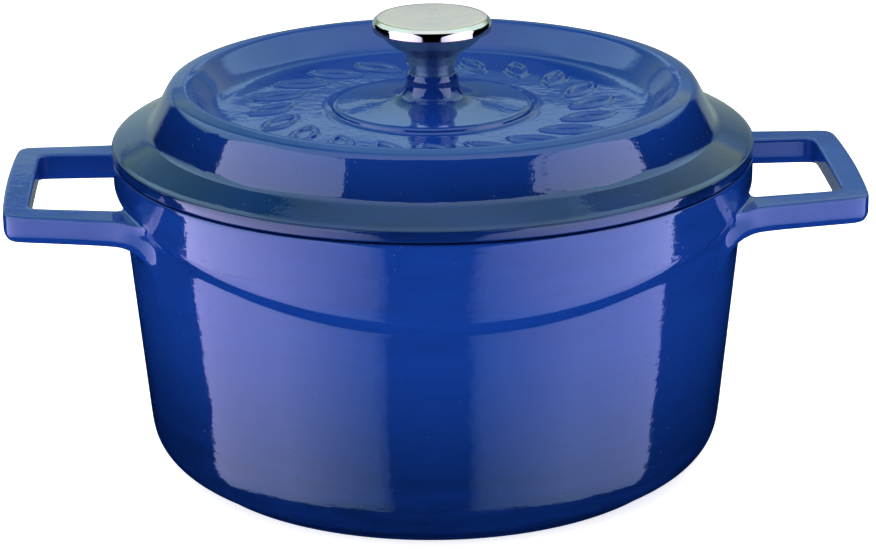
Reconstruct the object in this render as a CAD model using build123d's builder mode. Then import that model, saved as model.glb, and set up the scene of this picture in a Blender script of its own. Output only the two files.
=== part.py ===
from build123d import *
import os

# A round 24 cm casserole in enamelled cast iron: a pot with two cast-on loop handles, a lid with a raised
# ring around a sunken basin, and a turned steel knob that one screw holds from under the lid.
# Millimetres, +Z up. The origin is the centre of the foot on the table, and the handles stand out along X.

os.makedirs("parts", exist_ok=True)

# ---- pot ----
foot_r = 99.6
foot_round = 0.6
foot_groove_r = 88.0                  # a shallow ring groove in the underside
foot_groove_width, foot_groove_depth = 2.4, 0.6
base_z = 2.2                          # underside of the base, outside the foot
corner_r = 18.4                       # round between base and wall
wall_foot_r, wall_slope = 113.5, 0.096  # the wall's outer cone, carried down to z = 0
rim_z = 128.0                         # top of the rim, where the lid rests
rim_inner_r, rim_round = 121.3, 1.0
inner_floor_z, inner_floor_r, inner_corner_r = 4.6, 109.4, 15.0

# The upper wall stands proud of the lower one, above a line that dips at the front and back.
band_low_z, band_low_r, band_top_r, band_bevel = 88.0, 127.0, 127.4, 3.6
band_line = ((0, 92.4), (40, 94.7), (70, 98.7), (90, 102.4), (110, 107.3), (128, 110.8))  # x, z of its edge

# ---- loop handles ----
handle_root_x, handle_root_y = 100.0, 56.9   # inside the wall
handle_corner = (161.0, 48.5)
handle_end_corner = (167.9, 41.4)
handle_reach = 169.2
handle_root_top_z, handle_tip_top_z = 115.7, 117.8       # the handles tilt up a little outward
handle_root_low_z, handle_tip_low_z = 104.8, 106.8
handle_top_round, handle_low_round, handle_root_round = 2.0, 3.2, 7.0
grip_root_y, grip_tip_y, grip_tip_x, grip_corner_r = 39.5, 36.5, 158.7, 5.0   # the finger opening

# ---- lid ----
lip_r, lip_low_z = 127.5, 129.0
seat_flat_r = 124.4                               # the lid rests on the rim from its spigot out to here
lip_outline = ((127.5, 132.0), (126.3, 133.7), (122.0, 135.4))
wall_outline = ((113.6, 139.1), (109.9, 145.0), (106.3, 152.7))
ring_shoulder = (104.1, 155.0)
ring_inner_r, ring_z, ring_round = 97.3, 156.1, 1.2
basin_r, basin_z = 81.5, 144.8
disc_r, disc_z, disc_round = 39.6, 146.4, 0.7     # raised disc in the middle of the basin
boss_foot_r, boss_foot_z = 18.4, 148.2
boss_r, boss_neck_z, boss_top_z, boss_bevel = 10.4, 154.0, 159.2, 1.2
lid_wall = 3.6
spigot_r, spigot_low_z = 120.2, 123.5
lid_under_z = basin_z - lid_wall
under_outline = ((94.0, 146.6), (100.7, 152.3), (106.2, 144.0), (117.0, 130.8))
seat_r, seat_z = 8.9, 156.2                       # recess in the boss that the knob stands in
pocket_r, pocket_z = 10.0, 147.0                  # hollow under the boss for the screw's head
lid_hole_r = 3.4
leaf_count, leaf_ring_r, leaf_tilt = 20, 63.5, 38.0      # a border of raised leaf outlines in the basin
leaf_length, leaf_width, leaf_stroke, leaf_height = 24.0, 10.0, 2.0, 0.9
nub_r, nub_height = 2.4, 2.6
nub_rings = ((30.0, 6), (50.0, 12), (70.0, 18))          # the radius of each ring, and how many nubs it has

# ---- knob and its fixing ----
gasket_r, gasket_thickness = 8.6, 0.8
stem_low_z = seat_z + gasket_thickness
stem_r, stem_collar_z = 8.7, 159.5
stem_outline = ((9.0, 160.2), (9.9, 163.6), (12.4, 167.2), (16.4, 170.5), (22.2, 176.4))   # r, z
stem_sheet, stem_floor = 1.3, 2.2
cap_low_z, cap_top_z, cap_crown = 176.4, 181.2, 0.4
cap_r, cap_low_round, cap_top_round = 23.5, 0.4, 1.8
cap_spigot_r, cap_spigot_depth = 15.0, 1.0
insert_r, insert_flange_r, insert_flange, insert_bore_r = 5.0, 7.2, 1.4, 3.0
washer_r, washer_thickness = 7.5, 1.2
lock_washer_r, lock_washer_thickness, lock_washer_slit = 5.4, 1.6, 1.2
screw_r, screw_tip_z, screw_head_r, screw_head_height = 2.93, 170.0, 6.0, 3.6
cross_length, cross_width, cross_depth = 6.2, 1.3, 2.0
insert_bore_depth = screw_tip_z + 1.5 - stem_low_z

far = 400.0


def wall_r(z):
    """Radius of the pot's outer wall at height z."""
    return wall_foot_r + wall_slope * z


# ---- the proud upper band of the wall ----
with BuildPart() as band:
    with BuildSketch(Plane.XZ):
        with BuildLine():
            Polyline((0, band_low_z), (band_low_r, band_low_z), (band_top_r, rim_z), (0, rim_z), close=True)
        make_face()
    revolve(axis=Axis.Z)
    with BuildSketch(Plane.XZ.offset(-far / 2)):
        with BuildLine():
            line_left = [(-x, z) for x, z in reversed(band_line[1:])]
            edge = Spline(*line_left, *band_line)
            Polyline(edge @ 1, (band_line[-1][0], far), (-band_line[-1][0], far), edge @ 0)
        make_face()
    extrude(amount=far, mode=Mode.INTERSECT)
    chamfer(band.edges().filter_by(GeomType.BSPLINE), band_bevel)

# ---- the two loop handles ----
with BuildPart() as handles:
    with BuildSketch(Plane.XY.offset(handle_root_low_z)):
        with BuildLine():
            side = Line((handle_root_x, handle_root_y), handle_corner)
            corner = TangentArc(side @ 1, handle_end_corner, tangent=side % 1)
            TangentArc(corner @ 1, (handle_reach, 0), tangent=corner % 1)
            mirror(about=Plane.XZ)
            Line((handle_root_x, handle_root_y), (handle_root_x, -handle_root_y))
        make_face()
        with BuildLine():
            Polyline((handle_root_x, -grip_root_y), (grip_tip_x, -grip_tip_y), (grip_tip_x, grip_tip_y),
                     (handle_root_x, grip_root_y), close=True)
        make_face(mode=Mode.SUBTRACT)
    extrude(amount=handle_tip_top_z - handle_root_low_z)
    upright = handles.edges().filter_by(Axis.Z)
    fillet(upright.filter_by_position(Axis.X, grip_tip_x - 1, grip_tip_x + 1), grip_corner_r)
    with BuildSketch(Plane.XZ.offset(-far / 2)):
        with BuildLine():
            Polyline((handle_root_x, handle_root_low_z), (handle_reach + 1, handle_tip_low_z),
                     (handle_reach + 1, handle_tip_top_z), (handle_root_x, handle_root_top_z), close=True)
        make_face()
    extrude(amount=far, mode=Mode.INTERSECT)
    top_face = handles.faces().sort_by(Axis.Z)[-1]
    fillet(top_face.edges().filter_by_position(Axis.X, handle_root_x + 1, far), handle_top_round)
    low_face = handles.faces().sort_by(lambda face: face.normal_at(face.center()).Z)[0]
    fillet(low_face.edges().filter_by_position(Axis.X, handle_root_x + 1, far), handle_low_round)
    mirror(about=Plane.YZ)

# ---- pot ----
with BuildPart() as pot_body:
    with BuildSketch(Plane.XZ) as outline:
        with BuildLine():
            Polyline((0, base_z), (wall_r(base_z), base_z), (wall_r(rim_z), rim_z), (0, rim_z), close=True)
        make_face()
        fillet(outline.vertices().sort_by(Axis.Y)[:2].sort_by(Axis.X)[-1], corner_r)
    revolve(axis=Axis.Z)
    add(handles.part)
    fillet(pot_body.edges(Select.NEW), handle_root_round)
    add(band.part)
    with BuildSketch():
        Circle(foot_r)
    extrude(amount=base_z + corner_r / 4)
    fillet(pot_body.faces().sort_by(Axis.Z)[0].edges(), foot_round)
    with BuildSketch():
        Circle(foot_groove_r)
        Circle(foot_groove_r - foot_groove_width, mode=Mode.SUBTRACT)
    extrude(amount=foot_groove_depth, mode=Mode.SUBTRACT)
    with BuildSketch(Plane.XZ) as hollow:
        with BuildLine():
            Polyline((0, inner_floor_z), (inner_floor_r, inner_floor_z), (rim_inner_r, rim_z), (0, rim_z),
                     close=True)
        make_face()
        fillet(hollow.vertices().sort_by(Axis.Y)[:2].sort_by(Axis.X)[-1], inner_corner_r)
    revolve(axis=Axis.Z, mode=Mode.SUBTRACT)
    fillet(pot_body.faces().sort_by(Axis.Z)[-1].edges(), rim_round)

pot_body.part.label = "pot_body"
export_step(pot_body.part, "parts/pot_body.step")

# ---- one leaf outline of the lid's border, lying along X ----
with BuildSketch() as leaf:
    with BuildLine():
        ThreePointArc((-leaf_length / 2, 0), (0, leaf_width / 2), (leaf_length / 2, 0))
        mirror(about=Plane.XZ)
    make_face()
    offset(amount=-leaf_stroke, mode=Mode.SUBTRACT)

# ---- lid ----
with BuildPart() as lid:
    with BuildSketch(Plane.XZ):
        with BuildLine():
            lip_side = Line((lip_r, lip_low_z), lip_outline[0])
            lip_top = Spline(*lip_outline, tangents=[(0, 1), (-1, 0.4)])
            flange = Spline(lip_top @ 1, *wall_outline, tangents=[(-1, 0.4), (-1, 2.1)])
            shoulder = Spline(flange @ 1, ring_shoulder, (ring_inner_r + ring_round, ring_z),
                              tangents=[(-1, 2.1), (-1, 0)])
            ring_edge = TangentArc(shoulder @ 1, (ring_inner_r, ring_z - ring_round), tangent=(-1, 0))
            inner_wall = Spline(ring_edge @ 1, (basin_r, basin_z), tangents=[(-0.8, -1), (-1, 0)])
            Polyline(inner_wall @ 1, (disc_r, basin_z), (disc_r, disc_z))
            crown = Line((disc_r, disc_z), (boss_foot_r, boss_foot_z))
            flare = Spline(crown @ 1, (boss_r, boss_neck_z), tangents=[crown % 1, (0, 1)])
            Polyline(flare @ 1, (boss_r, boss_top_z - 2 * boss_bevel), (boss_r - boss_bevel, boss_top_z),
                     (seat_r, boss_top_z), (seat_r, seat_z),
                     (lid_hole_r, seat_z), (lid_hole_r, pocket_z), (pocket_r, pocket_z),
                     (pocket_r, lid_under_z), (basin_r, lid_under_z))
            under_ring = Spline((basin_r, lid_under_z), *under_outline, tangents=[(1, 0), (1, -0.4)])
            Polyline(under_ring @ 1, (under_outline[-1][0], spigot_low_z), (spigot_r, spigot_low_z),
                     (spigot_r, rim_z), (seat_flat_r, rim_z), (lip_r, lip_low_z))
        make_face()
    revolve(axis=Axis.Z)
    rings = lid.edges().filter_by(GeomType.CIRCLE)
    fillet(rings.filter_by_position(Axis.Z, disc_z - 0.01, disc_z + 0.01), disc_round)
    with BuildSketch(Plane.XY.offset(basin_z)):
        with PolarLocations(leaf_ring_r, leaf_count):
            add(leaf.sketch, rotation=leaf_tilt)
    extrude(amount=leaf_height)
    for ring_r, count in nub_rings:
        with BuildSketch(Plane.XY.offset(lid_under_z - nub_height)):
            with PolarLocations(ring_r, count):
                Circle(nub_r)
        extrude(amount=nub_height + lid_wall / 4)

lid.part.label = "lid"
export_step(lid.part, "parts/lid.step")

# ---- knob ----
with BuildPart() as knob_gasket:
    with BuildSketch(Plane.XY.offset(seat_z)):
        Circle(gasket_r)
        Circle(lid_hole_r, mode=Mode.SUBTRACT)
    extrude(amount=gasket_thickness)

knob_gasket.part.label = "knob_gasket"
export_step(knob_gasket.part, "parts/knob_gasket.step")

with BuildPart() as knob_stem:
    with BuildSketch(Plane.XZ):
        with BuildLine():
            foot = Polyline((insert_r, stem_low_z + stem_floor), (insert_r, stem_low_z), (stem_r, stem_low_z),
                            (stem_r, stem_collar_z), stem_outline[0])
            skirt = Spline(*stem_outline)
            inner_low = (stem_outline[0][0] - stem_sheet, stem_low_z + stem_floor)
            inner = [(r - stem_sheet, z + stem_sheet / 4) for r, z in stem_outline[1:-1]]
            inner_skirt = Spline(inner_low, *inner, (stem_outline[-1][0] - 2 * stem_sheet, cap_low_z))
            Line(skirt @ 1, inner_skirt @ 1)
            Line(inner_low, foot @ 0)
        make_face()
    revolve(axis=Axis.Z)

knob_stem.part.label = "knob_stem"
export_step(knob_stem.part, "parts/knob_stem.step")

with BuildPart() as knob_insert:
    with BuildSketch(Plane.XY.offset(stem_low_z)):
        Circle(insert_r)
    extrude(amount=cap_low_z - cap_spigot_depth - stem_low_z)
    with BuildSketch(Plane.XY.offset(stem_low_z + stem_floor)):
        RegularPolygon(insert_flange_r, 6)
    extrude(amount=insert_flange)
    with Locations(Plane.XY.offset(stem_low_z).reverse()):
        Hole(insert_bore_r, depth=insert_bore_depth)

knob_insert.part.label = "knob_insert"
export_step(knob_insert.part, "parts/knob_insert.step")

with BuildPart() as knob_cap:
    with BuildSketch(Plane.XZ) as cap_outline:
        with BuildLine():
            low = Polyline((0, cap_low_z - cap_spigot_depth), (cap_spigot_r, cap_low_z - cap_spigot_depth),
                           (cap_spigot_r, cap_low_z), (cap_r, cap_low_z), (cap_r, cap_top_z))
            crown = ThreePointArc((cap_r, cap_top_z), (0, cap_top_z + cap_crown), (-cap_r, cap_top_z),
                                  mode=Mode.PRIVATE)
            Polyline(low @ 1, crown @ 0.5, low @ 0)
        make_face()
        side = cap_outline.vertices().filter_by_position(Axis.X, cap_r - 0.1, cap_r + 0.1).sort_by(Axis.Y)
        fillet(side[0], cap_low_round)
        fillet(side[-1], cap_top_round)
    revolve(axis=Axis.Z)

knob_cap.part.label = "knob_cap"
export_step(knob_cap.part, "parts/knob_cap.step")

# ---- the screw and its washers, under the lid ----
washer_low_z = pocket_z - washer_thickness
with BuildPart() as screw_washer:
    with BuildSketch(Plane.XY.offset(washer_low_z)):
        Circle(washer_r)
        Circle(lid_hole_r, mode=Mode.SUBTRACT)
    extrude(amount=washer_thickness)
    fillet(screw_washer.edges().group_by(SortBy.LENGTH)[-1], washer_thickness / 4)

screw_washer.part.label = "screw_washer"
export_step(screw_washer.part, "parts/screw_washer.step")

lock_washer_low_z = washer_low_z - lock_washer_thickness
with BuildPart() as lock_washer:
    with BuildSketch(Plane.XY.offset(lock_washer_low_z)):
        Circle(lock_washer_r)
        Circle(lid_hole_r, mode=Mode.SUBTRACT)
        with Locations((lock_washer_r, 0)):
            Rectangle(2 * lock_washer_r, lock_washer_slit, mode=Mode.SUBTRACT)
    extrude(amount=lock_washer_thickness)

lock_washer.part.label = "lock_washer"
export_step(lock_washer.part, "parts/lock_washer.step")

head_low_z = lock_washer_low_z - screw_head_height
with BuildPart() as knob_screw:
    with BuildSketch(Plane.XY.offset(head_low_z)):
        Circle(screw_head_r)
    extrude(amount=screw_head_height)
    fillet(knob_screw.faces().sort_by(Axis.Z)[0].edges(), screw_head_height / 2)
    with BuildSketch(Plane.XY.offset(head_low_z)):
        Rectangle(cross_length, cross_width)
        Rectangle(cross_width, cross_length)
    extrude(amount=cross_depth, mode=Mode.SUBTRACT)
    with BuildSketch(Plane.XY.offset(lock_washer_low_z)):
        Circle(screw_r)
    extrude(amount=screw_tip_z - lock_washer_low_z)
    chamfer(knob_screw.faces().sort_by(Axis.Z)[-1].edges(), screw_r / 5)

knob_screw.part.label = "knob_screw"
export_step(knob_screw.part, "parts/knob_screw.step")
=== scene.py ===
from math import acos, ceil, cos, degrees, exp, pi, radians, sin

import bmesh
import bpy
import numpy as np
from mathutils import Matrix, Vector


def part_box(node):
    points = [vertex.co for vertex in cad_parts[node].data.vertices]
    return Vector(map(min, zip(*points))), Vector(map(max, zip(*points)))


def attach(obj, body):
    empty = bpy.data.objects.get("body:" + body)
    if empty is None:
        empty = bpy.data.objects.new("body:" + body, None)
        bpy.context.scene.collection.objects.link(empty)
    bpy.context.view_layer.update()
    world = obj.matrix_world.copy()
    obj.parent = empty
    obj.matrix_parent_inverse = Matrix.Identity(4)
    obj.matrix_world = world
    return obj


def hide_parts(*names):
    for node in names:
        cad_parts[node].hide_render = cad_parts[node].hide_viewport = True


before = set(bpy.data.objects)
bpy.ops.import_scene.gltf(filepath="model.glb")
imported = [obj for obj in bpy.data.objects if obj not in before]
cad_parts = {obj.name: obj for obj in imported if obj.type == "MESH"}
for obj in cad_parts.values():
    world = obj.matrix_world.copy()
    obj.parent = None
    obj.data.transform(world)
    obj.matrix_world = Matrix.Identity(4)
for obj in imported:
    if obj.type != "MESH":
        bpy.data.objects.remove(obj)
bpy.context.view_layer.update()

# A round casserole in blue enamelled cast iron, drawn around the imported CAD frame.
# Shapes are worked out in millimetres, and every mesh is turned into metres as it is made.
MM = 0.001

# ---- places that the frame gives ----
pot_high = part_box("pot_body")[1] / MM
lid_low, lid_high = (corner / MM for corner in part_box("lid"))
gasket_low, gasket_high = (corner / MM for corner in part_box("knob_gasket"))
stem_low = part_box("knob_stem")[0] / MM
cap_low, cap_high = (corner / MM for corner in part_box("knob_cap"))
washer_low, washer_high = (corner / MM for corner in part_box("screw_washer"))
lock_low, lock_high = (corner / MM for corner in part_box("lock_washer"))
screw_low, screw_high = (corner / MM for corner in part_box("knob_screw"))

# ---- pot ----
RIM_Z = pot_high.z
FOOT_R, FOOT_ROUND = 99.8, 2.2
GROOVE_R, GROOVE_DEPTH = 87.0, 0.6
BASE_Z = 2.6
WALL_FOOT_R, WALL_SLOPE = 113.5, 0.096
CORNER_CENTRE, CORNER_R = (97.0, 20.6), 18.4         # the round between the base and the wall
BAND_TOP_R, BAND_SLOPE = 127.35, 0.01                # the proud upper band
BAND_DIP_Z, BAND_RISE, BAND_RISE_AT = 94.3, 16.6, 114.0
STEP_HALF = 2.2                                      # half the height of the bevel below the band
RIM_ROUND, RIM_MIDDLE_R, INNER_RIM_R, INNER_SLOPE = 1.5, 122.9, 121.2, 0.0964
FLOOR_Z, FLOOR_CORNER_R = 4.6, 15.0
# heights of the cage's rows on the wall, outside and inside, and radii of its rings on the base and the floor
WALL_ROWS, INNER_ROWS = (30, 47, 64, 80), (110, 80, 50, 28)
BASE_RING_R, FLOOR_RINGS = 45, (80, 40)

# ---- loop handles, growing from the wall between two azimuths and two heights ----
ROOT_NEAR, ROOT_FAR = 17.3, 26.5                     # degrees from the handle's axis
ROOT_LOW_Z = 99.0
ROOT_NEAR_HIGH_Z, ROOT_FAR_HIGH_Z = 117.8, 114.0
ROOT_COLUMNS, SIDE_COLUMNS, FRONT_COLUMNS = 3, 6, 20
ROOT_ROWS = 5
HANDLE_TOP_Z, HANDLE_LOW_Z = 116.3, 105.3            # where the bars leave the wall
TOP_SLOPE, LOW_SLOPE = 0.03, 0.028                   # the handles tilt up a little outward
BAR_XS = (120.5, 125.0, 132.0, 143.0, 154.0)         # where the bars' sections lie, from the wall outward
BAR_OUTER_Y, BAR_OUTER_SLOPE, BAR_INNER_Y, BAR_INNER_SLOPE = 49.3, 0.137, 36.5, 0.055
ROOT_FLARE, ROOT_FLARE_REACH, GUSSET, GUSSET_REACH = 1.5, 4.0, 0.3, 3.0
# plan points of the sections beyond the bars: outer (x, y) and inner (x, y)
HANDLE_CORNER = (
    ((163.0, 48.4), (156.4, 36.0)), ((167.6, 46.9), (158.6, 34.6)), ((168.8, 40.5), (158.9, 29.0)),
)
GRIP = (((169.6, 20.0), (159.0, 15.0)), ((170.0, 0.0), (159.0, 0.0)))
CRISP_ACROSS, CRISP_LOW, CRISP_TOP = 0.16, 0.26, 0.16   # how close its cage lies to its section's corners
LOW_INSET = 0.15                                     # how much its underside is drawn in, on each side

# ---- lid: the corners of its section (r, z) and the distance over which each is rounded ----
LIP_R, LIP_Z = lid_high.x, 128.2
BOSS_TOP_Z, SPIGOT_Z = lid_high.z, lid_low.z
BASIN_Z, DISC_R, DISC_Z = 144.8, 39.6, 146.5
RING_Z = 156.2
UNDER_Z = 141.2
HOLE_R, SEAT_R, POCKET_R = 3.4, 8.9, 10.0
SEAT_Z, POCKET_Z = gasket_low.z, washer_high.z
SPIGOT_R, SPIGOT_INNER_R = 120.2, 117.0
LID_CORNERS = (
    # the boss, from the knob's seat outward
    (HOLE_R, SEAT_Z, 0.4), (SEAT_R, SEAT_Z, 0.3), (SEAT_R, BOSS_TOP_Z, 0.2), (SEAT_R + 0.5, BOSS_TOP_Z, 0.2),
    (10.4, BOSS_TOP_Z - 2.0, 0.7), (10.5, 153.8, 1.3), (13.2, 149.6, 1.8), (18.5, 148.2, 2.0),
    # the disc, the basin and the ring
    (DISC_R, DISC_Z, 0.8), (DISC_R + 0.6, BASIN_Z, 0.9), (85.8, BASIN_Z, 6.0), (97.0, RING_Z, 1.3),
    (104.6, RING_Z - 1.3, 1.7), (112.9, 139.3, 0.9),
    # the lip and the spigot
    (LIP_R - 0.6, 133.6, 1.0), (LIP_R + 0.1, 132.6, 0.8), (LIP_R + 0.1, LIP_Z + 0.8, 0.5),
    (124.4, LIP_Z + 0.7, 0.4), (123.2, LIP_Z, 0.4), (SPIGOT_R, LIP_Z, 0.6), (SPIGOT_R, SPIGOT_Z, 0.7),
    (SPIGOT_INNER_R, SPIGOT_Z, 0.7),
    # the underside, inward to the pocket of the screw's head
    (SPIGOT_INNER_R, 131.0, 3.0), (110.0, 134.6, 4.0), (102.6, 152.4, 3.0), (98.4, 152.2, 3.0),
    (87.6, UNDER_Z, 5.0), (POCKET_R, UNDER_Z, 0.8), (POCKET_R, POCKET_Z, 0.4), (HOLE_R, POCKET_Z, 0.4),
)
LID_COLUMNS = 360
FINE_PITCH, NUB_PITCH, PLAIN_PITCH = 0.7, 1.5, 2.0   # spacing of the rows along the section

# ---- the basin's border of leaf outlines, and the drip nubs under it ----
LEAVES, LEAF_RING_R, LEAF_TILT = 20, 63.5, 38.0
LEAF_LENGTH, LEAF_WIDTH, LEAF_STROKE, LEAF_HEIGHT, LEAF_SOFT = 24.0, 10.0, 2.1, 1.0, 0.45
NUB_R, NUB_HEIGHT = 2.4, 2.6
NUB_RINGS = ((30.0, 6), (50.0, 12), (70.0, 18))

# ---- knob and fixings ----
CAP_R = cap_high.x
CAP_FACE_R = CAP_R - 1.7                             # the satin top face; outside it the knob is polished
CAP_SIDE_Z = cap_low.z + 1.0
STEM_CORNERS = (
    (5.0, stem_low.z, 0.3), (8.7, stem_low.z, 0.3), (8.8, lid_high.z + 0.8, 0.6), (9.5, 163.6, 1.4),
    (11.9, 167.6, 1.8), (17.4, 171.4, 2.2), (22.2, CAP_SIDE_Z, 0.5), (20.0, CAP_SIDE_Z, 0.4),
    (15.9, 172.0, 2.0), (10.5, 168.4, 1.8), (7.8, 163.8, 1.2), (7.7, 160.0, 0.6), (5.0, 159.2, 0.4),
)
CAP_CORNERS = (
    (15.0, cap_low.z, 0.3), (15.0, CAP_SIDE_Z, 0.2), (CAP_R, CAP_SIDE_Z, 0.1), (CAP_R, cap_high.z - 2.1, 0.4),
    (CAP_R - 0.3, cap_high.z - 1.5, 0.25), (CAP_FACE_R, cap_high.z - 0.1, 0.3),
)
SCREW_R, THREAD_PITCH, THREAD_DEPTH = 2.93, 1.0, 0.5
SCREW_HEAD_R = 6.0
CROSS_LENGTH, CROSS_WIDTH, CROSS_DEPTH = 6.2, 1.3, 2.0
LOCK_SLIT = 1.2
SMALL_PITCH, HEAD_PITCH = 0.6, 0.25                  # rows on turned pieces and on the screw's head


def mix(a, b, t):
    return a + (b - a) * t


def smooth01(t):
    t = np.clip(t, 0.0, 1.0)
    return t * t * (3 - 2 * t)


# ------------------------------------------------------------------ outlines and meshes
def rounded(corners, closed):
    """Control points that follow straight sides and turn each corner over its own distance."""
    points = []
    count = len(corners)
    for i, (r, z, turn) in enumerate(corners):
        here = Vector((r, z))
        for step in (-1, 0, 1):
            if not closed and not 0 <= i + step < count:
                continue
            toward = Vector(corners[(i + step) % count][:2]) - here
            points.append(here + turn * toward.normalized() if step else here)
        if closed or i + 1 < count:
            points.append(here.lerp(Vector(corners[(i + 1) % count][:2]), 0.5))
    return points


def bspline(points, closed, rows_between):
    """The cubic B-spline of control points, cut into rows_between(a, b) rows on each span from a to b."""
    p = [np.array(q, float) for q in points]
    p = [p[-1], *p, p[0], p[1]] if closed else [2 * p[0] - p[1], *p, 2 * p[-1] - p[-2]]
    curve = []
    for i in range(len(p) - 3):
        rows = rows_between(p[i + 1], p[i + 2])
        for t in np.arange(rows) / rows:
            weights = np.array([(1 - t) ** 3, 3 * t ** 3 - 6 * t ** 2 + 4,
                                3 * (t + t ** 2 - t ** 3) + 1, t ** 3]) / 6
            curve.append(weights @ np.array(p[i:i + 4]))
    if not closed:
        curve.append(p[-2])
    return np.array(curve)


def rows_at(pitch):
    """A count of rows for bspline that keeps them no further apart than the pitch."""
    return lambda a, b: max(1, ceil(np.hypot(*(b - a)) / pitch))


def mesh_object(name, points, faces, materials, face_slots=None):
    """A smooth mesh from points in millimetres, with its normals outward."""
    mesh = bpy.data.meshes.new(name)
    mesh.from_pydata((np.array(points, float) * MM).tolist(), [], faces)
    for m in materials:
        mesh.materials.append(m)
    mesh.polygons.foreach_set("use_smooth", [True] * len(mesh.polygons))
    if face_slots is not None:
        mesh.polygons.foreach_set("material_index", face_slots)
    bm = bmesh.new()
    bm.from_mesh(mesh)
    bmesh.ops.recalc_face_normals(bm, faces=bm.faces)
    bm.to_mesh(mesh)
    bm.free()
    obj = bpy.data.objects.new(name, mesh)
    bpy.context.scene.collection.objects.link(obj)
    return obj


def between(a, count_a, b, count_b):
    """Faces between two rings of points, of which one may have twice as many points as the other."""
    if count_a == count_b:
        return [(a + j, a + (j + 1) % count_a, b + (j + 1) % count_a, b + j) for j in range(count_a)]
    if count_a > count_b:
        a, count_a, b, count_b = b, count_b, a, count_a
    faces = []
    for j in range(count_a):
        k = (j + 1) % count_a
        left, middle, right = b + 2 * j, b + 2 * j + 1, b + 2 * k
        faces += [(a + j, middle, left), (a + j, a + k, middle), (a + k, right, middle)]
    return faces


def fan(centre, start, count):
    """Faces from a centre point to a ring of points."""
    return [(centre, start + j, start + (j + 1) % count) for j in range(count)]


def turned(profile, columns, closed, relief=None):
    """Points, faces and each face's row, for a profile (r, z) turned about Z.

    columns is a number, or one number for each row. relief(row, r, angles) adds to a row's heights. A profile
    that isn't closed runs from the axis to the axis.
    """
    rows = profile if closed else profile[1:-1]
    counts = [columns] * len(rows) if isinstance(columns, int) else columns
    points, faces, face_rows, starts = [], [], [], []
    for i, ((r, z), count) in enumerate(zip(rows, counts)):
        angles = np.arange(count) * 2 * pi / count
        heights = z + (relief(i, r, angles) if relief else np.zeros(count))
        starts.append(len(points))
        points += zip(r * np.cos(angles), r * np.sin(angles), heights)
    for i in range(len(rows) if closed else len(rows) - 1):
        k = (i + 1) % len(rows)
        made = between(starts[i], counts[i], starts[k], counts[k])
        faces += made
        face_rows += [i] * len(made)
    if not closed:
        for row, z in ((0, profile[0][1]), (len(rows) - 1, profile[-1][1])):
            points.append((0, 0, z))
            faces += fan(len(points) - 1, starts[row], counts[row])
            face_rows += [row] * counts[row]
    return points, faces, face_rows


# ------------------------------------------------------------------ materials
class Shader:
    """A material's node tree, with short calls for the kinds of node used here."""

    def __init__(self, name):
        self.material = bpy.data.materials.new(name)
        self.material.use_nodes = True
        self.tree = self.material.node_tree
        self.surface = self.tree.nodes["Principled BSDF"]
        self.coords = self.tree.nodes.new("ShaderNodeTexCoord").outputs["Object"]

    def node(self, kind, inputs, **settings):
        made = self.tree.nodes.new("ShaderNode" + kind)
        for key, value in settings.items():
            setattr(made, key, value)
        for key, value in inputs.items():
            self.set(made, key, value)
        return made

    def set(self, node, key, value):
        if isinstance(value, bpy.types.NodeSocket):
            self.tree.links.new(value, node.inputs[key])
        else:
            node.inputs[key].default_value = value

    def finish(self, **values):
        for key, value in values.items():
            self.set(self.surface, key.replace("_", " "), value)
        return self.material

    def noise(self, scale, detail=2.0, rough=0.5, coords=None):
        made = self.node("TexNoise", {"Vector": coords or self.coords, "Scale": scale, "Detail": detail,
                                      "Roughness": rough})
        return made.outputs["Fac"]

    def stretched(self, factors):
        return self.node("Mapping", {"Vector": self.coords, "Scale": factors}).outputs["Vector"]

    def remap(self, value, low, high, to_low, to_high, soft=False):
        made = self.node("MapRange", {"Value": value, "From Min": low, "From Max": high, "To Min": to_low,
                                      "To Max": to_high})
        made.interpolation_type = "SMOOTHSTEP" if soft else "LINEAR"
        return made.outputs["Result"]

    def math(self, operation, a, b):
        return self.node("Math", {0: a, 1: b}, operation=operation).outputs[0]

    def blend(self, factor, a, b):
        made = self.node("MixRGB", {"Fac": factor, "Color1": a, "Color2": b})
        return made.outputs["Color"]

    def bump(self, height, distance, strength=1.0, normal=None):
        inputs = {"Height": height, "Distance": distance, "Strength": strength}
        if normal is not None:
            inputs["Normal"] = normal
        return self.node("Bump", inputs).outputs["Normal"]


def shaded(colour, factor):
    return (*(factor * channel for channel in colour), 1)


COBALT, NAVY = (0.004, 0.029, 0.2, 1), (0.0008, 0.0072, 0.045, 1)
# the lighter blue put on convex edges stands partly for thinner glaze there and partly for a painted edge
# highlight
THIN_GLAZE_AND_EDGE_HIGHLIGHT, DEEP_GLAZE = (0.012, 0.07, 0.34, 1), (0.0025, 0.018, 0.13, 1)
RIPPLE, BANDS, PEEL, PIT_DEPTH = 0.0005, 0.0001, 0.00005, 0.00006    # metres of relief in the glaze


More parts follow.
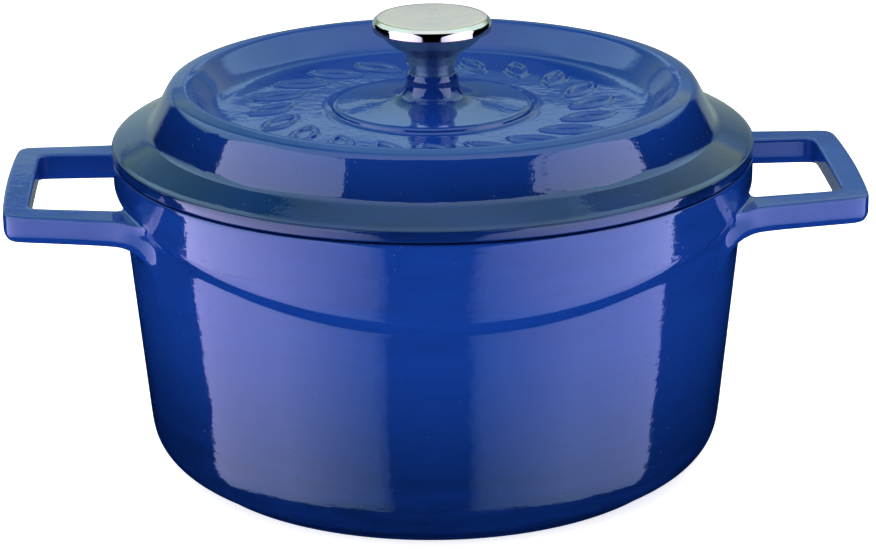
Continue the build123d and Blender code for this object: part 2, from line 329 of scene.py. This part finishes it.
def enamel(name, fade_along, fade_from, fade_to, fade_depth):
    """Glossy cobalt glaze that darkens along the height or the radius, with ripples, bands and pits."""
    shader = Shader(name)
    place = shader.node("Mapping", {"Vector": shader.coords, "Scale": fade_along}).outputs["Vector"]
    place = shader.node("VectorMath", {0: place}, operation="LENGTH").outputs["Value"]
    drift = shader.math("MULTIPLY", shader.math("SUBTRACT", shader.noise(9, 3), 0.5), 0.02)
    place = shader.math("ADD", place, drift)
    fade = shader.remap(place, fade_from * MM, fade_to * MM, 0, fade_depth, soft=True)
    colour = shader.blend(fade, COBALT, NAVY)
    # painted highlight: convex edges blend toward a lighter blue, partly for thinner glaze and partly as a
    # painted edge highlight
    thin_glaze_and_edge_highlight = shader.remap(shader.node("NewGeometry", {}).outputs["Pointiness"], 0.53, 0.62, 0, 0.5)
    colour = shader.blend(thin_glaze_and_edge_highlight, colour, THIN_GLAZE_AND_EDGE_HIGHLIGHT)
    mottle = shader.remap(shader.noise(55, 4, 0.6), 0.35, 0.65, 0, 0.16)
    colour = shader.blend(mottle, colour, DEEP_GLAZE)

    streaks = shader.noise(1, 4, 0.65, shader.stretched((22, 22, 170)))
    colour = shader.blend(shader.remap(streaks, 0.35, 0.65, 0, 0.4), colour, DEEP_GLAZE)

    ripple = shader.bump(shader.noise(24, 1), RIPPLE)
    bands = shader.bump(streaks, BANDS, normal=ripple)
    peel = shader.bump(shader.noise(240, 2), PEEL, normal=bands)
    cells = shader.node("TexVoronoi", {"Vector": shader.coords, "Scale": 210.0}).outputs["Distance"]
    pits = shader.remap(cells, 0.03, 0.09, 0, 1, soft=True)
    normal = shader.bump(pits, PIT_DEPTH, normal=peel)
    rough = shader.remap(shader.noise(70, 5, 0.7), 0.3, 0.7, 0.035, 0.075)
    return shader.finish(Base_Color=colour, Roughness=rough, Normal=normal, IOR=1.52)


def matt_enamel():
    """The black glaze inside, fine-grained like a dark eggshell."""
    shader = Shader("matt_black_enamel")
    mottle = shader.remap(shader.noise(35, 4), 0.3, 0.7, 0, 1)
    tone = shader.blend(mottle, (0.008, 0.008, 0.009, 1), (0.02, 0.02, 0.022, 1))
    grain = shader.bump(shader.noise(900, 3, 0.6), 0.0002)
    normal = shader.bump(shader.noise(120, 2), 0.0003, normal=grain)
    rough = shader.remap(shader.noise(60, 4), 0.3, 0.7, 0.34, 0.5)
    return shader.finish(Base_Color=tone, Roughness=rough, Normal=normal)


def turned_steel(name, colour, rough_low, rough_high, line_depth, anisotropy, metallic=1.0):
    """Steel with fine turning marks round the axis, light scratches and finger smears."""
    shader = Shader(name)
    x, y, z = (shader.node("SeparateXYZ", {"Vector": shader.coords}).outputs[axis] for axis in "XYZ")
    squares = shader.math("ADD", shader.math("MULTIPLY", x, x), shader.math("MULTIPLY", y, y))
    radius = shader.node("Math", {0: squares}, operation="SQRT").outputs[0]
    rings = shader.node("CombineXYZ", {"X": radius, "Y": 0.0, "Z": z}).outputs["Vector"]
    marks = shader.noise(5200, 3, 0.6, rings)
    scratches = shader.noise(1, 5, 0.8, shader.stretched((260, 2400, 700)))
    smears = shader.noise(75, 4, 0.6)
    tone = shader.blend(shader.remap(marks, 0.3, 0.7, 0, 1), shaded(colour, 0.93), shaded(colour, 1))
    wear = shader.math("ADD", shader.math("MULTIPLY", marks, 0.5), shader.math("MULTIPLY", smears, 0.5))
    rough = shader.remap(wear, 0.35, 0.65, rough_low, rough_high)
    normal = shader.bump(scratches, line_depth / 2, normal=shader.bump(marks, line_depth))
    return shader.finish(Base_Color=tone, Metallic=metallic, Roughness=rough, Normal=normal,
                         Anisotropic=anisotropy)


def zinc(name, colour, rough_low, rough_high):
    """A plated or cast metal of small crystals, worn brighter on its edges."""
    shader = Shader(name)
    cells = shader.node("TexVoronoi", {"Vector": shader.coords, "Scale": 1500.0}).outputs["Distance"]
    worn = shader.remap(shader.node("NewGeometry", {}).outputs["Pointiness"], 0.5, 0.6, 0, 0.6)
    tone = shader.blend(shader.remap(cells, 0, 0.8, 0, 0.3), shaded(colour, 1), shaded(colour, 0.6))
    tone = shader.blend(worn, tone, shaded(colour, 1.25))
    rough = shader.remap(shader.noise(400, 4, 0.7), 0.3, 0.7, rough_low, rough_high)
    normal = shader.bump(shader.noise(1800, 3), 0.00003)
    return shader.finish(Base_Color=tone, Metallic=1.0, Roughness=rough, Normal=normal)


def rubber():
    """Black silicone with a dusty, slightly uneven skin."""
    shader = Shader("gasket_rubber")
    dust = shader.remap(shader.noise(300, 4), 0.3, 0.7, 0, 1)
    tone = shader.blend(dust, (0.022, 0.022, 0.024, 1), (0.05, 0.05, 0.05, 1))
    rough = shader.remap(shader.noise(500, 3), 0.3, 0.7, 0.5, 0.7)
    return shader.finish(Base_Color=tone, Roughness=rough, Normal=shader.bump(shader.noise(2500, 2), 0.00004))


POT_ENAMEL = enamel("pot_enamel", (0, 0, 1), 96, 12, 1.0)
LID_ENAMEL = enamel("lid_enamel", (1, 1, 0), 95, 118, 0.95)
BLACK_ENAMEL = matt_enamel()
SATIN_STEEL = turned_steel("satin_steel", (0.72, 0.6, 0.49), 0.2, 0.3, 0.00001, 0.5, 0.6)
POLISHED_STEEL = turned_steel("polished_steel", (0.6, 0.46, 0.4), 0.03, 0.08, 0.000002, 0.0)
STEM_STEEL = turned_steel("stem_steel", (0.36, 0.46, 0.48), 0.26, 0.34, 0.000004, 0.3)
FIXING_STEEL = zinc("fixing_steel", (0.55, 0.56, 0.58), 0.2, 0.38)
BRASS = zinc("insert_brass", (0.7, 0.55, 0.26), 0.18, 0.34)
RUBBER = rubber()


# ------------------------------------------------------------------ the pot
def wall_r(z):
    return WALL_FOOT_R + WALL_SLOPE * z


def band_r(z):
    return BAND_TOP_R - BAND_SLOPE * (RIM_Z - z)


def step_z(x):
    """Height of the step below the proud band: it dips at the front and back, and climbs to the handles."""
    return BAND_DIP_Z + BAND_RISE * (x / BAND_RISE_AT) ** 2


def pot_columns():
    """Azimuths of the cage's columns, alike in all four quarters, with some on the sides of the roots."""
    quarter = [*np.linspace(0, ROOT_NEAR, SIDE_COLUMNS, endpoint=False),
               *np.linspace(ROOT_NEAR, ROOT_FAR, ROOT_COLUMNS, endpoint=False),
               *np.linspace(ROOT_FAR, 90, FRONT_COLUMNS, endpoint=False)]
    half = [*quarter, 90.0, *(180 - a for a in quarter[:0:-1])]
    return [radians(a) for a in half] + [radians(a + 180) for a in half]


def pot_section(azimuth):
    """The cage's section (r, z) at an azimuth, from the foot up, over the rim and down inside, and its first
    row at the height of the handle roots."""
    from_axis = degrees(acos(abs(cos(azimuth))))
    from_root = abs(from_axis - (ROOT_NEAR + ROOT_FAR) / 2)
    at_root = 1 - smooth01((from_root - 6) / 14)
    middle = step_z(wall_r(RIM_Z) * cos(azimuth))
    spread = mix(1.6, 3.3, at_root)
    low, high = middle - STEP_HALF, middle + STEP_HALF
    across_root = np.clip((from_axis - ROOT_NEAR) / (ROOT_FAR - ROOT_NEAR), 0, 1)
    root_low = mix(low - 10, ROOT_LOW_Z, at_root)
    root_high = mix(high + 10, mix(ROOT_NEAR_HIGH_Z, ROOT_FAR_HIGH_Z, across_root), at_root)

    groove = [(GROOVE_R + side, depth)
              for side, depth in ((-1.4, 0), (-0.9, GROOVE_DEPTH), (0.9, GROOVE_DEPTH), (1.4, 0))]
    foot = [(BASE_RING_R, 0), *groove, (FOOT_R - FOOT_ROUND, 0), (FOOT_R, 0), (FOOT_R, BASE_Z / 2),
            (FOOT_R + 0.5, BASE_Z), (FOOT_R + 3, BASE_Z)]
    corner = [(CORNER_CENTRE[0] + CORNER_R * cos(a), CORNER_CENTRE[1] + CORNER_R * sin(a))
              for a in np.radians(np.linspace(-70, -5.5, 6))]
    wall = [(wall_r(z), z) for z in (*WALL_ROWS, root_low, low - spread, low)]
    band = [(band_r(z), z) for z in (high, high + spread, root_high, RIM_Z - 5, RIM_Z - RIM_ROUND, RIM_Z)]
    rim = [(BAND_TOP_R - RIM_ROUND, RIM_Z), (RIM_MIDDLE_R, RIM_Z), (INNER_RIM_R, RIM_Z),
           (INNER_RIM_R - 0.2, RIM_Z - 2.4)]
    inside = [(INNER_RIM_R - INNER_SLOPE * (RIM_Z - z), z) for z in INNER_ROWS]
    bend_r = inside[-1][0] - INNER_SLOPE * 8 - FLOOR_CORNER_R
    bend = [(bend_r + FLOOR_CORNER_R * cos(a), FLOOR_Z + FLOOR_CORNER_R * (1 + sin(a)))
            for a in np.radians(np.linspace(-8, -90, 5))]
    floor = [(r, FLOOR_Z) for r in FLOOR_RINGS]
    first_root_row = len(foot) + len(corner) + len(WALL_ROWS)
    return foot + corner + wall + band + rim + inside + bend + floor, first_root_row


def handle_loops():
    """Plan points (outer, inner) of a handle's sections, from one root round to the other."""
    bar = []
    for x in BAR_XS:
        away = BAR_XS[-1] - x
        flare = ROOT_FLARE * exp((BAR_XS[0] - x) / ROOT_FLARE_REACH)
        lean = mix(-3.5, 2.6, away / (BAR_XS[-1] - BAR_XS[0]))
        outer = (x, BAR_OUTER_Y + BAR_OUTER_SLOPE * away + flare)
        inner = (x + lean, BAR_INNER_Y + BAR_INNER_SLOPE * away)
        bar.append((outer, inner))
    half = [*bar, *HANDLE_CORNER, *GRIP]
    other = [((xo, -yo), (xi, -yi)) for (xo, yo), (xi, yi) in half[-2::-1]]
    return half + other


def handle_low_z(x):
    """The underside of a handle, which rises outward from a small gusset at the wall."""
    return HANDLE_LOW_Z + LOW_SLOPE * (x - BAR_XS[0]) - GUSSET * exp((BAR_XS[0] - x) / GUSSET_REACH)


def handle_top_z(x):
    return HANDLE_TOP_Z + TOP_SLOPE * (x - BAR_XS[0])


def section_border(columns, rows):
    """Grid places (column, row) round the border of a section, in order."""
    border = [(c, 0) for c in range(columns)] + [(columns, r) for r in range(rows)]
    border += [(c, rows) for c in range(columns, 0, -1)] + [(0, r) for r in range(rows, 0, -1)]
    return border


def crisp(i, last, first_span, last_span):
    """Where the cage's i-th point of 0..last lies across a section, whose first and last spans are short."""
    return float(np.interp(i, (0, 1, last - 1, last), (0, first_span, 1 - last_span, 1)))


def root_column(side_x, side_y, c, count):
    """The cage's column at c columns from the inner side of a handle's root."""
    away = SIDE_COLUMNS + c
    if side_x < 0:
        away = count // 2 - away
    return away if side_y > 0 else count - away


def root_points(side_x, side_y, border, first_root_row, count, rows):
    """The cage's points round the opening that a handle's bar grows from, in the border's order."""
    return [root_column(side_x, side_y, c, count) * rows + first_root_row + r for c, r in border]


def root_holes(count, first_root_row):
    """The cage's faces (column, row) that the four handle roots leave open."""
    holes = set()
    for side_x in (1, -1):
        for side_y in (1, -1):
            lowest = min(root_column(side_x, side_y, c, count) for c in (0, ROOT_COLUMNS))
            holes |= {(lowest + c, first_root_row + r) for c in range(ROOT_COLUMNS) for r in range(ROOT_ROWS)}
    return holes


def handle_section(side_x, outer, inner, border):
    """The points of a handle's section, in the border's order, between an outer and an inner plan point."""
    points = []
    for c, r in border:
        inset = LOW_INSET if r == 0 else 0
        across = mix(inset, 1 - inset, crisp(c, ROOT_COLUMNS, CRISP_ACROSS, CRISP_ACROSS))
        x, y = mix(inner[0], outer[0], across), mix(inner[1], outer[1], across)
        z = mix(handle_low_z(x), handle_top_z(x), crisp(r, ROOT_ROWS, CRISP_LOW, CRISP_TOP))
        points.append((side_x * x, y, z))
    return points


def make_pot():
    columns = pot_columns()
    count = len(columns)
    sections, root_rows = zip(*(pot_section(azimuth) for azimuth in columns))
    rows, first_root_row = len(sections[0]), root_rows[0]
    points = [(r * cos(azimuth), r * sin(azimuth), z) for section, azimuth in zip(sections, columns)
              for r, z in section]

    holes = root_holes(count, first_root_row)
    rim_row = next(i for i, (r, z) in enumerate(sections[0]) if z >= RIM_Z) + 2
    faces, slots = [], []
    for j in range(count):
        a, b = j * rows, (j + 1) % count * rows
        for i in range(rows - 1):
            if (j, i) not in holes:
                faces.append((a + i, b + i, b + i + 1, a + i + 1))
                slots.append(1 if i >= rim_row else 0)
    for end, z in ((0, 0), (rows - 1, FLOOR_Z)):
        points.append((0, 0, z))
        faces += [(len(points) - 1, j * rows + end, (j + 1) % count * rows + end) for j in range(count)]
        slots += [1 if end else 0] * count

    border = section_border(ROOT_COLUMNS, ROOT_ROWS)
    size = len(border)
    for side_x in (1, -1):
        loops = [root_points(side_x, 1, border, first_root_row, count, rows)]
        for outer, inner in handle_loops():
            loops.append(range(len(points), len(points) + size))
            points += handle_section(side_x, outer, inner, border)
        loops.append(root_points(side_x, -1, border, first_root_row, count, rows))
        for near, far in zip(loops, loops[1:]):
            faces += [(near[k], near[(k + 1) % size], far[(k + 1) % size], far[k]) for k in range(size)]
            slots += [0] * size

    pot = mesh_object("pot_shell", points, faces, [POT_ENAMEL, BLACK_ENAMEL], slots)
    soft = pot.modifiers.new("cast rounding", "SUBSURF")
    soft.levels = soft.render_levels = 2
    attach(pot, "pot")
    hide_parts("pot_body")


# ------------------------------------------------------------------ the lid
def leaf_relief(r, azimuth):
    """How far the leaf outlines stand proud at a place in the basin."""
    turn = 2 * pi / LEAVES
    off = (azimuth + turn / 2) % turn - turn / 2
    u, v = r * np.cos(off) - LEAF_RING_R, r * np.sin(off)
    tilt = radians(LEAF_TILT)
    along, across = u * cos(tilt) + v * sin(tilt), v * cos(tilt) - u * sin(tilt)
    arc_r = (LEAF_LENGTH ** 2 / 4 + LEAF_WIDTH ** 2 / 4) / LEAF_WIDTH
    inside = arc_r - np.hypot(along, np.abs(across) + arc_r - LEAF_WIDTH / 2)
    outer = smooth01((inside + LEAF_SOFT) / (2 * LEAF_SOFT))
    inner = smooth01((inside - LEAF_STROKE + LEAF_SOFT) / (2 * LEAF_SOFT))
    return LEAF_HEIGHT * (outer - inner)


def nub_relief(r, azimuth):
    """How far the drip nubs hang down at a place under the basin."""
    hang = np.zeros_like(azimuth)
    for ring_r, count in NUB_RINGS:
        turn = 2 * pi / count
        off = (azimuth + turn / 2) % turn - turn / 2
        away = np.hypot(r * np.cos(off) - ring_r, r * np.sin(off)) / (NUB_R + 0.7)
        hang += NUB_HEIGHT * np.sqrt(np.clip(1 - away ** 2, 0, 1))
    return hang


def near_leaves(r, z):
    reach = LEAF_LENGTH / 2 * cos(radians(LEAF_TILT)) + LEAF_WIDTH / 2
    return abs(z - BASIN_Z) < 0.05 and abs(r - LEAF_RING_R) < reach


def under_basin(r, z):
    return z < UNDER_Z + 0.05 and r < NUB_RINGS[-1][0] + 2 * NUB_R


def lid_rows(a, b):
    """Rows on a span of the lid's section: close together where the leaves and the nubs are."""
    r, z = (a + b) / 2
    pitch = FINE_PITCH if near_leaves(r, z) else NUB_PITCH if under_basin(r, z) else PLAIN_PITCH
    return rows_at(pitch)(a, b)


def make_lid():
    profile = bspline(rounded(LID_CORNERS, True), True, lid_rows)
    columns = [2 * LID_COLUMNS if near_leaves(r, z) else LID_COLUMNS for r, z in profile]

    def relief(row, r, angles):
        z = profile[row][1]
        if near_leaves(r, z):
            return leaf_relief(r, angles)
        return -nub_relief(r, angles) if under_basin(r, z) else np.zeros(len(angles))

    points, faces, face_rows = turned(profile, columns, True, relief)
    widest = int(np.argmax(profile[:, 0]))
    under_from = next(i for i in range(widest, len(profile))
                      if profile[i][0] < LIP_R - 1 and profile[i][1] < LIP_Z)
    slots = [int(i >= under_from) for i in face_rows]
    lid = mesh_object("lid_shell", points, faces, [LID_ENAMEL, BLACK_ENAMEL], slots)
    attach(lid, "lid")
    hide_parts("lid")


# ------------------------------------------------------------------ knob and fixings
def fitted(node, points, faces, material):
    """A piece that stands for a CAD node of the lid."""
    piece = mesh_object(node + "_shell", points, faces, [material])
    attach(piece, "lid")
    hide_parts(node)
    return piece


def lathe(node, corners, closed, material, columns=192):
    """A turned piece that stands for a CAD node of the lid."""
    profile = bspline(rounded(corners, closed), closed, rows_at(SMALL_PITCH))
    points, faces, _ = turned(profile, columns, closed)
    return fitted(node, points, faces, material)


def flat_ring(low_z, high_z, outer_r, inner_soft, outer_soft):
    """The corners of a washer's section round the screw's hole."""
    return ((HOLE_R, low_z, inner_soft), (outer_r, low_z, outer_soft),
            (outer_r, high_z, outer_soft), (HOLE_R, high_z, inner_soft))


def make_knob():
    axis_low, axis_high = (0, cap_low.z, 0.0), (0, cap_high.z, 0.0)
    cap = lathe("knob_cap", (axis_low, *CAP_CORNERS, axis_high), False, POLISHED_STEEL)
    cap.data.materials.append(SATIN_STEEL)
    for face in cap.data.polygons:
        x, y, z = face.center / MM
        face.material_index = int(z > cap_high.z - 1 and x * x + y * y < CAP_FACE_R ** 2)
    lathe("knob_stem", STEM_CORNERS, True, STEM_STEEL)
    ring = flat_ring(gasket_low.z, gasket_high.z, gasket_high.x, 0.2, 0.25)
    lathe("knob_gasket", ring, True, RUBBER, 96)


def thread_relief(z, angles):
    """Depth of a right-hand screw thread below its crest at height z."""
    phase = (z / THREAD_PITCH - angles / (2 * pi)) % 1
    return THREAD_DEPTH * np.clip(2.4 * np.abs(phase - 0.5) - 0.1, 0, 1)


def cross_cut(x, y):
    """Depth of the head's cross recess at a place on it."""
    along_x = np.maximum(np.abs(x) / CROSS_LENGTH, np.abs(y) / CROSS_WIDTH)
    along_y = np.maximum(np.abs(x) / CROSS_WIDTH, np.abs(y) / CROSS_LENGTH)
    return CROSS_DEPTH * smooth01((0.62 - np.minimum(along_x, along_y)) / 0.25)


def make_screw():
    """A pan-head screw with a cross recess and a rolled thread, head down."""
    low, shoulder, shank_z = screw_low.z, lock_low.z, lock_low.z + 1.5
    columns = 72
    angles = np.arange(columns) * 2 * pi / columns
    head = rounded(((0, low, 0.0), (SCREW_HEAD_R - 0.4, low, 2.0), (SCREW_HEAD_R, shoulder - 0.3, 0.5),
                    (SCREW_R, shoulder, 0.3), (SCREW_R, shank_z, 0.3)), False)
    rings = []
    for r, z in bspline(head, False, rows_at(HEAD_PITCH))[1:]:
        x, y = r * np.cos(angles), r * np.sin(angles)
        cut = cross_cut(x, y) if z < low + 0.4 else 0
        rings.append((x, y, z + cut))
    for z in np.arange(shank_z + 0.1, screw_high.z - 0.6, THREAD_PITCH / 8):
        r = SCREW_R - thread_relief(z, angles)
        rings.append((r * np.cos(angles), r * np.sin(angles), z))
    tip_r = SCREW_R - THREAD_DEPTH - 0.2
    rings.append((tip_r * np.cos(angles), tip_r * np.sin(angles), screw_high.z))

    points = [place for x, y, z in rings for place in zip(x, y, np.broadcast_to(z, columns))]
    faces = []
    for i in range(len(rings) - 1):
        faces += between(i * columns, columns, (i + 1) * columns, columns)
    for start, z in ((0, low + CROSS_DEPTH), ((len(rings) - 1) * columns, screw_high.z)):
        points.append((0, 0, z))
        faces += fan(len(points) - 1, start, columns)
    fitted("knob_screw", points, faces, FIXING_STEEL)


def make_washers():
    ring = flat_ring(washer_low.z, washer_high.z, washer_high.x, 0.3, 0.3)
    lathe("screw_washer", ring, True, FIXING_STEEL, 96)

    ring = flat_ring(lock_low.z, lock_high.z, lock_high.y, 0.2, 0.2)
    section = bspline(rounded(ring, True), True, lambda a, b: 1)
    half_slit = LOCK_SLIT / 2 / HOLE_R
    turns = np.linspace(half_slit, 2 * pi - half_slit, 73)
    points = [(r * cos(a), r * sin(a), z) for a in turns for r, z in section]
    size = len(section)
    faces = []
    for i in range(len(turns) - 1):
        faces += between(i * size, size, (i + 1) * size, size)
    faces += [tuple(range(size)), tuple(range(len(points) - size, len(points)))]
    fitted("lock_washer", points, faces, FIXING_STEEL)


def finish_insert():
    """The hidden bush keeps its CAD mesh, in brass."""
    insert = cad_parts["knob_insert"]
    insert.data.materials.clear()
    insert.data.materials.append(BRASS)


# ------------------------------------------------------------------ stage, light and camera
LENS, CAMERA_PLACE, CAMERA_AIM, CAMERA_ROLL = 137.7, (-59.3, -1282.2, 505.2), (1.6, -0.1, 74.2), -0.49
CARD_FRONT = -4.8                                    # the direction that the cards' azimuths start from
FLOOR_REACH = 12000

# The front cards stand on both sides of the camera. Each has rows of glow from bottom to top, and in them the
# shades at four azimuths outward. The right one's lower rows are dimmer.
FRONT_DISTANCE, RIGHT_DIM = 450, (0.72, 0.82, 0.9)
LOW_AZIMUTHS, LOW_HEIGHTS = (13.5, 18, 52, 88), (-275, -20)
LOW_SHADES = (
    ((0.1, 0.15, 0.2), (0.36, 0.66, 0.85), (1.2, 1.6, 2.25), (0.95, 1.25, 1.75)),
    ((0.2, 0.3, 0.6), (0.75, 1.05, 2.1), (2.8, 2.8, 5.1), (3.3, 3.0, 5.8)),
)
HIGH_AZIMUTHS, HIGH_HEIGHTS = (11, 16, 48, 84), (-20, 150, 600)
HIGH_SHADES = (
    ((0.15, 0.2, 0.35), (0.8, 0.9, 1.5), (2.8, 2.8, 4.9), (4.7, 4.5, 7.4)),
    ((0.6, 0.7, 1.1), (1.8, 2.2, 3.4), (2.6, 2.8, 4.4), (3.3, 3.4, 5.2)),
    ((0.6, 0.8, 1.1), (2.0, 2.5, 3.5), (2.3, 2.9, 3.9), (2.4, 3.1, 3.9)),
)
LEFT_LEAN, RIGHT_LEAN, OUTER_LEAN = 32, 55, 6        # degrees that the high cards' edges lean outward

# The card behind the pot: (height, shade) up its middle, its left and right, and its far sides.
BACK_DISTANCE, BACK_AZIMUTHS = 900, (110, 143, 147, 167, 173, 191, 197, 218.5, 223, 254)
BACK_MIDDLE = (
    (-330, (0.15, 0.2, 0.2)), (-40, (0.2, 0.26, 0.24)), (350, (0.1, 0.22, 0.35)), (386, (0.12, 0.25, 0.4)),
    (400, (0.55, 0.85, 0.95)), (425, (0.5, 0.8, 0.9)), (443, (0.15, 0.32, 0.55)), (460, (0.06, 0.22, 0.45)),
    (480, (0.55, 0.9, 1.0)), (585, (0.75, 1.2, 1.3)), (690, (0.35, 0.7, 0.6)), (1400, (0.35, 0.7, 0.6)),
)
BACK_LEFT = (
    (-90, (0.0, 0.0, 0.0)), (-40, (0.4, 0.5, 0.45)), (350, (0.42, 0.66, 0.7)), (386, (0.36, 0.58, 0.62)),
    (400, (0.14, 0.3, 0.5)), (460, (0.4, 0.65, 0.4)), (640, (0.2, 0.45, 0.25)), (1400, (0.04, 0.24, 0.12)),
)
BACK_RIGHT = (
    (-90, (0.0, 0.0, 0.0)), (-40, (0.4, 0.5, 0.45)), (350, (0.2, 0.34, 0.34)), (386, (0.25, 0.48, 0.6)),
    (400, (0.22, 0.42, 0.6)), (460, (0.6, 0.8, 0.5)), (640, (0.45, 0.68, 0.4)), (1400, (0.2, 0.42, 0.3)),
)
BACK_WIDE = ((400, (0.0, 0.0, 0.0)), (480, (0.6, 1.0, 1.0)), (640, (1.1, 1.8, 1.9)))

# The ceiling card has rows from front to back, each with its outer and its inner shade.
CEILING_Z, CEILING_XS, CEILING_YS = 1400, (-2600, -700, -420, 420, 700, 2600), (-600, 0, 900)
CEILING_SHADES = (
    ((1.5, 2.0, 2.3), (1.5, 2.0, 2.3)),
    ((1.2, 2.0, 2.1), (1.05, 1.6, 1.85)),
    ((1.1, 1.8, 1.9), (0.16, 0.45, 0.36)),
)


def glow():
    """An emission that takes its colour from the card's own corners."""
    made = bpy.data.materials.new("card_glow")
    made.use_nodes = True
    tree = made.node_tree
    tree.nodes.clear()
    shine = tree.nodes.new("ShaderNodeEmission")
    paint = tree.nodes.new("ShaderNodeVertexColor")
    paint.layer_name = "glow"
    tree.links.new(paint.outputs["Color"], shine.inputs["Color"])
    tree.links.new(shine.outputs[0], tree.nodes.new("ShaderNodeOutputMaterial").inputs["Surface"])
    return made


CARD_GLOW = glow()


def reflector(name, points, faces, shades):
    """A glowing card that only shows in gloss, with a shade at each of its points."""
    obj = mesh_object(name, points, faces, [CARD_GLOW])
    paint = obj.data.color_attributes.new("glow", "FLOAT_COLOR", "POINT")
    paint.data.foreach_set("color", np.array([(*shade, 1) for shade in shades], float).ravel())
    obj.visible_camera = obj.visible_diffuse = obj.visible_shadow = obj.visible_transmission = False


def grid_faces(columns, rows):
    """Faces of a grid of points that are listed row by row."""
    return [(v * columns + u, v * columns + u + 1, (v + 1) * columns + u + 1, (v + 1) * columns + u)
            for v in range(rows - 1) for u in range(columns - 1)]


def card(name, distance, azimuths, heights, shades, lean=(0, 0)):
    """A reflector curved round the pot, with a row of shades for each height and in it one for each azimuth.

    Azimuths are degrees from the front, towards +X. The two angles of lean say how far the card's first and
    last edges turn from bottom to top.
    """
    grid = np.array(shades, float)
    points, glows = [], []
    across = np.linspace(0, len(azimuths) - 1, 12 * len(azimuths) - 11)
    up = np.linspace(0, len(heights) - 1, 8 * len(heights) - 7)
    for v in up:
        for u in across:
            row, column = min(int(v), len(heights) - 2), min(int(u), len(azimuths) - 2)
            z = np.interp(v, range(len(heights)), heights)
            moved = mix(*lean, u / across[-1]) * (z - heights[0]) / (heights[-1] - heights[0])
            azimuth = radians(CARD_FRONT + np.interp(u, range(len(azimuths)), azimuths) + moved)
            points.append((distance * sin(azimuth), -distance * cos(azimuth), z))
            low = mix(grid[row, column], grid[row, column + 1], u - column)
            high = mix(grid[row + 1, column], grid[row + 1, column + 1], u - column)
            glows.append(mix(low, high, v - row))
    reflector(name, points, grid_faces(len(across), len(up)), glows)


def shades_at(heights, profile):
    """The shades that a profile of (height, shade) takes at the given heights."""
    known = [z for z, _ in profile]
    channels = zip(*(shade for _, shade in profile))
    return np.stack([np.interp(heights, known, channel) for channel in channels], axis=1)


def make_front_cards():
    for side, dim, lean in ((-1, (1, 1, 1), LEFT_LEAN), (1, RIGHT_DIM, RIGHT_LEAN)):
        low, high = np.array(LOW_SHADES) * dim, np.array(HIGH_SHADES)
        high[0] *= dim
        azimuths = [side * azimuth for azimuth in LOW_AZIMUTHS]
        card(f"low_card_{side}", FRONT_DISTANCE, azimuths, LOW_HEIGHTS, low)
        azimuths = [side * azimuth for azimuth in HIGH_AZIMUTHS]
        leans = (side * lean, side * OUTER_LEAN)
        card(f"high_card_{side}", FRONT_DISTANCE, azimuths, HIGH_HEIGHTS, high, leans)


def make_back_card():
    profiles = (BACK_WIDE, BACK_RIGHT, BACK_MIDDLE, BACK_LEFT)
    heights = sorted({z for profile in profiles for z, _ in profile})
    wide, right, middle, left = (shades_at(heights, profile) for profile in profiles)
    columns = (wide, wide, right, right, middle, middle, left, left, wide, wide)
    card("back_card", BACK_DISTANCE, BACK_AZIMUTHS, heights, np.stack(columns, axis=1))


def make_ceiling_card():
    points = [(x, y, CEILING_Z) for y in CEILING_YS for x in CEILING_XS]
    shades = [shade for outer, inner in CEILING_SHADES
              for shade in (outer, outer, inner, inner, outer, outer)]
    reflector("ceiling_card", points, grid_faces(len(CEILING_XS), len(CEILING_YS)), shades)


def make_floor():
    paper = Shader("paper_floor")
    tone = paper.blend(paper.noise(60, 4), (0.93, 0.93, 0.93, 1), (0.96, 0.96, 0.96, 1))
    paper.finish(Base_Color=tone, Roughness=0.9, Normal=paper.bump(paper.noise(1500, 2), 0.00005),
                 Emission_Color=(1, 1, 1, 1), Emission_Strength=0.7)
    corners = [(x * FLOOR_REACH, y * FLOOR_REACH, 0) for x, y in ((-1, -1), (1, -1), (1, 1), (-1, 1))]
    floor = mesh_object("floor", corners, [(0, 1, 2, 3)], [paper.material])
    floor.visible_glossy = False
    floor.visible_shadow = False


def make_world():
    world = bpy.data.worlds.new("studio")
    bpy.context.scene.world = world
    world.use_nodes = True
    sky = world.node_tree.nodes["Background"]
    sky.inputs["Color"].default_value = (1, 1, 1, 1)
    sky.inputs["Strength"].default_value = 0.8
    world.cycles_visibility.glossy = False


def soft_light(name, place, aim, size, power):
    """A round lamp, in metres and watts, that gloss doesn't show."""
    data = bpy.data.lights.new(name, "AREA")
    data.shape = "DISK"
    data.size = size
    data.energy = power
    lamp = bpy.data.objects.new(name, data)
    lamp.location = place
    lamp.rotation_euler = (Vector(aim) - Vector(place)).to_track_quat("-Z", "Y").to_euler()
    lamp.visible_camera = lamp.visible_glossy = False
    bpy.context.scene.collection.objects.link(lamp)


def make_camera():
    data = bpy.data.cameras.new("camera")
    data.lens, data.sensor_width = LENS, 36.0
    place, aim = Vector(CAMERA_PLACE) * MM, Vector(CAMERA_AIM) * MM
    forward = (aim - place).normalized()
    right = forward.cross(Vector((0, 0, 1))).normalized()
    level_up = right.cross(forward)
    roll = radians(CAMERA_ROLL)
    right, up = cos(roll) * right + sin(roll) * level_up, cos(roll) * level_up - sin(roll) * right
    camera = bpy.data.objects.new("camera", data)
    camera.matrix_world = Matrix.Translation(place) @ Matrix((right, up, -forward)).transposed().to_4x4()
    bpy.context.scene.collection.objects.link(camera)
    bpy.context.scene.camera = camera


make_pot()
make_lid()
make_knob()
make_screw()
make_washers()
finish_insert()
make_floor()
make_world()
soft_light("overhead", (0.0, 0.1, 1.6), (0, 0, 0.1), 2.0, 22)
soft_light("front", (-0.6, -1.6, 1.0), (0, 0, 0.1), 1.2, 8)
make_front_cards()
make_back_card()
make_ceiling_card()
make_camera()
bpy.context.scene.view_settings.view_transform = "Standard"
